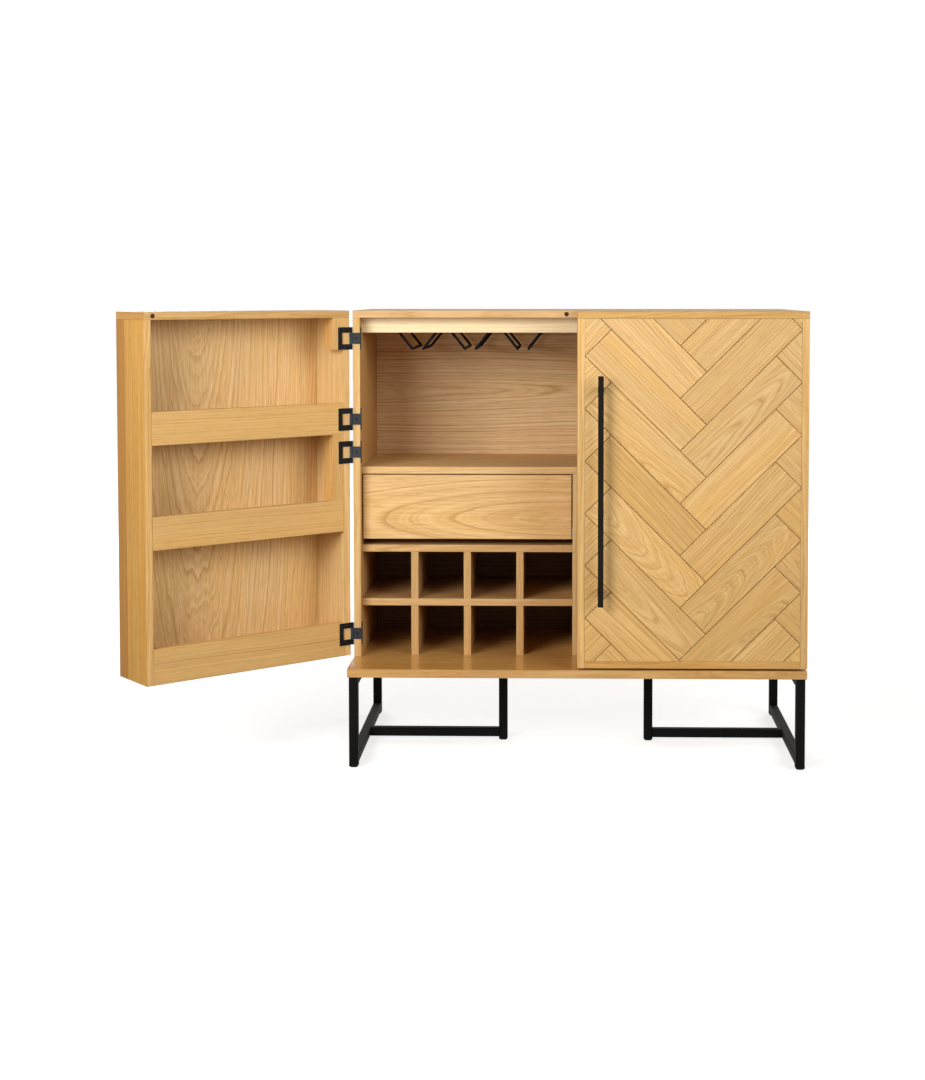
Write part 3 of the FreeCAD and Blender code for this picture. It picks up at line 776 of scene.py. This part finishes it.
# The handle's coat is lighter and warmer than the legs': a painted reflection of the oak around it.
handle_black_and_reflection = coated_material(
    "black_handle_coat_and_reflection", rgb(0.0085, 0.0062, 0.0048), rgb(0.015, 0.011, 0.008), 0.44, 0.20)
plate_grey = coated_material(
    "worn_hinge_plate", rgb(0.034, 0.038, 0.043), rgb(0.058, 0.063, 0.070), 0.36, 0.12)
plastic = coated_material(
    "black_glide_plastic", rgb(0.006, 0.006, 0.006), rgb(0.011, 0.011, 0.011), 0.56, 0.15)
magnet_black = coated_material(
    "black_magnet", rgb(0.040, 0.024, 0.014), rgb(0.080, 0.050, 0.032), 0.60, 0.10)
screw_black = coated_material(
    "black_screw_steel", rgb(0.010, 0.010, 0.011), rgb(0.022, 0.022, 0.024), 0.30, 0.10)
zinc = zinc_material("zinc_plate")


def dress(node, material):
    mesh = nodes[node].data
    mesh.materials.clear()
    mesh.materials.append(material)


for count, node in enumerate(sorted(GRAIN), 1):
    dress(node, board_material(node, count))
for door in DOORS:
    dress(f"{door}_herringbone", herringbone_material(door))
    dress(f"{door}_handle", handle_black_and_reflection)
    dress(f"{door}_hinge_leaves", hinge_black)
    dress(f"{door}_magnet", magnet_black)
for side in ("left", "right"):
    dress(f"{side}_leg_frame", leg_black)
    dress(f"{side}_side_hinge_leaves", plate_grey)
for place in ("left", "middle", "right"):
    dress(f"glass_rack_{place}", leg_black)
dress("top_magnets", magnet_black)
dress("feet", plastic)
dress("drawer_runners", zinc)


# Hinge screws

def cross_outline():
    """Corners of the driver's cross, anticlockwise about its middle."""
    corners = []
    for quarter in range(4):
        turn = quarter * math.pi / 2
        for x, y in ((CROSS_REACH, -CROSS_HALF), (CROSS_REACH, CROSS_HALF), (CROSS_HALF, CROSS_HALF)):
            corners.append((
                x * math.cos(turn) - y * math.sin(turn), x * math.sin(turn) + y * math.cos(turn),
            ))
    return corners


def add_screw(mesh, middle, facing, spin):
    """A low crowned head with a cross cut in it, at a point of a leaf's face."""
    normal = Vector(facing)
    first = Matrix.Rotation(spin, 3, normal) @ normal.orthogonal().normalized()
    second = normal.cross(first)
    cross = cross_outline()

    def ring(points, lift):
        return [mesh.verts.new(middle + first * x + second * y + normal * lift) for x, y in points]

    def circle(radius):
        spots = []
        for x, y in cross:
            angle = math.atan2(y, x)
            spots.append((radius * math.cos(angle), radius * math.sin(angle)))
        return spots

    narrow, low = CROSS_FLOOR
    rings = [ring(circle(HEAD_RADIUS * part), HEAD_CROWN * lift) for part, lift in HEAD_RINGS]
    rings.append(ring(cross, HEAD_CROWN))
    rings.append(ring([(x * narrow, y * narrow) for x, y in cross], HEAD_CROWN * low))
    for outer, inner in zip(rings, rings[1:]):
        for k in range(len(cross)):
            after = (k + 1) % len(cross)
            mesh.faces.new((outer[k], outer[after], inner[after], inner[k]))
    mesh.faces.new(rings[-1])
    mesh.faces.new(rings[0][::-1])


def hinge_screws(name, body, axis, hand, spots, turn):
    """Screws of one set of leaves; spots are about the hinge axis of a left-hand door."""
    mesh = bmesh.new()
    for number, level in enumerate(HINGE_LEVELS):
        for place, facing in spots:
            spin = SPIN * steady(number * SPIN_PER_HINGE + place[2] * SPIN_PER_METRE, SPIN_SALT)
            middle = Vector((axis.x + hand * place[0], axis.y + place[1], level + place[2]))
            add_screw(mesh, middle, (hand * facing[0], facing[1], 0.0), spin)
    bmesh.ops.recalc_face_normals(mesh, faces=mesh.faces)
    data = bpy.data.meshes.new(name)
    mesh.transform(turn)
    mesh.to_mesh(data)
    mesh.free()
    piece = bpy.data.objects.new(name, data)
    bpy.context.scene.collection.objects.link(piece)
    data.materials.append(screw_black)
    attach(piece, body)


# Places of the screws and the ways that they face.
door_spots = [
    ((DOOR_SCREW[0], LEAF_FACE, sign * DOOR_SCREW[1]), (0.0, 1.0)) for sign in (-1, 1)
]
side_spots = [((PLATE_SCREW, -LEAF_FACE, 0.0), (0.0, -1.0))] + [
    ((FLANGE_FACE, FLANGE_SCREW[0], sign * FLANGE_SCREW[1]), (1.0, 0.0)) for sign in (-1, 1)
]
still = Matrix.Identity(4)
opened = left_door_turn(-LEFT_OPEN)
hinge_screws("left_door_hinge_screws", "left_door", LEFT_AXIS, 1, door_spots, opened)
hinge_screws("right_door_hinge_screws", "right_door", RIGHT_AXIS, -1, door_spots, still)
hinge_screws("left_side_hinge_screws", "cabinet", LEFT_AXIS, 1, side_spots, still)
hinge_screws("right_side_hinge_screws", "cabinet", RIGHT_AXIS, -1, side_spots, still)


# Studio

WHITE = rgb(1.0, 1.0, 1.0)
FLOOR_SIZE = 14.0
FLOOR_COLOUR = rgb(0.55, 0.55, 0.55)
FLOOR_ROUGH = 0.85
FLOOR_GLOSS = 0.1
# The floor's glow where it is seen: about the cabinet, and what is added far from it.
FLOOR_GLOW = 0.71
FAR_GLOW = 0.30
NEAR_FLOOR = 0.9
FAR_FLOOR = 2.6
SHOWN_WHITE = 1.0
WORLD_LIGHT = 0.04


def seen_ray(tree):
    """1 for rays that show the background: straight to the camera, mirrored or transmitted."""
    path = tree.nodes.new("ShaderNodeLightPath")
    total = path.outputs["Is Camera Ray"]
    for name in ("Is Glossy Ray", "Is Transmission Ray"):
        most = tree.nodes.new("ShaderNodeMath")
        most.operation = "MAXIMUM"
        tree.links.new(total, most.inputs[0])
        tree.links.new(path.outputs[name], most.inputs[1])
        total = most.outputs[0]
    return total


def make_world():
    world = bpy.data.worlds.new("studio")
    bpy.context.scene.world = world
    world.use_nodes = True
    tree = world.node_tree
    tree.nodes.clear()
    mix = tree.nodes.new("ShaderNodeMixShader")
    tree.links.new(seen_ray(tree), mix.inputs["Fac"])
    for slot, strength in ((1, WORLD_LIGHT), (2, SHOWN_WHITE)):
        light = tree.nodes.new("ShaderNodeBackground")
        light.inputs["Strength"].default_value = strength
        light.inputs["Color"].default_value = WHITE
        tree.links.new(light.outputs[0], mix.inputs[slot])
    out = tree.nodes.new("ShaderNodeOutputWorld")
    tree.links.new(mix.outputs[0], out.inputs["Surface"])


def make_floor():
    half = FLOOR_SIZE / 2
    mesh = bpy.data.meshes.new("floor")
    mesh.from_pydata(
        [(-half, -half, 0), (half, -half, 0), (half, half, 0), (-half, half, 0)], [], [(0, 1, 2, 3)]
    )
    floor = bpy.data.objects.new("floor", mesh)
    bpy.context.scene.collection.objects.link(floor)
    shader = Shader("pale_floor")
    length = shader.node("ShaderNodeVectorMath", {0: shader.coordinates("Object")}, operation="LENGTH")
    away = Num(shader, length.outputs["Value"])
    glow = shader.smooth(away, NEAR_FLOOR, FAR_FLOOR) * FAR_GLOW + FLOOR_GLOW
    shader.finish(
        Base_Color=FLOOR_COLOUR,
        Roughness=FLOOR_ROUGH,
        Specular_IOR_Level=FLOOR_GLOSS,
        Emission_Color=WHITE,
        Emission_Strength=Num(shader, seen_ray(shader.tree)) * glow,
    )
    mesh.materials.append(shader.material)


def area_light(name, place, target, width, height, watts, spread):
    data = bpy.data.lights.new(name, "AREA")
    data.shape = "RECTANGLE"
    data.size = width
    data.size_y = height
    data.energy = watts
    data.spread = math.radians(spread)
    lamp = bpy.data.objects.new(name, data)
    bpy.context.scene.collection.objects.link(lamp)
    lamp.location = place
    lamp.rotation_euler = (Vector(target) - Vector(place)).to_track_quat("-Z", "Y").to_euler()


# Each lamp's place, what it is turned to, its width, height, watts and spread in degrees.
LIGHTS = {
    "left_softbox": ((-1.48, -2.14, 1.45), (0.0, -0.1, 0.90), 1.3, 1.2, 25.0, 120.0),
    "right_softbox": ((1.84, -1.79, 1.65), (0.0, -0.1, 1.05), 2.0, 1.5, 13.7, 85.0),
    "back_left_softbox": ((-2.4, 3.0, 1.8), (0.0, 0.2, 0.6), 1.8, 1.8, 50.0, 180.0),
    "back_right_softbox": ((2.4, 3.0, 1.8), (0.0, 0.2, 0.6), 1.8, 1.8, 50.0, 180.0),
}
make_world()
make_floor()
for name, setting in LIGHTS.items():
    area_light(name, *setting)


# Camera: the picture's size, the focal length and the middle of the view in its pixels,
# where the camera stands, and how far it is turned to the left and down.

PICTURE_WIDTH, PICTURE_HEIGHT = 925, 1080
FOCAL_PX = 1699.73
MIDDLE_PX = (528.39, 373.33)
EYE = (-0.02796, -3.91027, 1.04011)
YAW = 0.0209
PITCH = 0.0480
SENSOR = 36.0

camera_data = bpy.data.cameras.new("camera")
camera_data.sensor_width = SENSOR
camera_data.lens = FOCAL_PX * SENSOR / PICTURE_HEIGHT
camera_data.shift_x = (PICTURE_WIDTH / 2 - MIDDLE_PX[0]) / PICTURE_HEIGHT
camera_data.shift_y = (MIDDLE_PX[1] - PICTURE_HEIGHT / 2) / PICTURE_HEIGHT
camera = bpy.data.objects.new("camera", camera_data)
bpy.context.scene.collection.objects.link(camera)
camera.location = EYE
camera.rotation_euler = (math.pi / 2 - PITCH, 0.0, YAW)
bpy.context.scene.camera = camera
bpy.context.scene.view_settings.view_transform = "Standard"

bpy.context.view_layer.update()
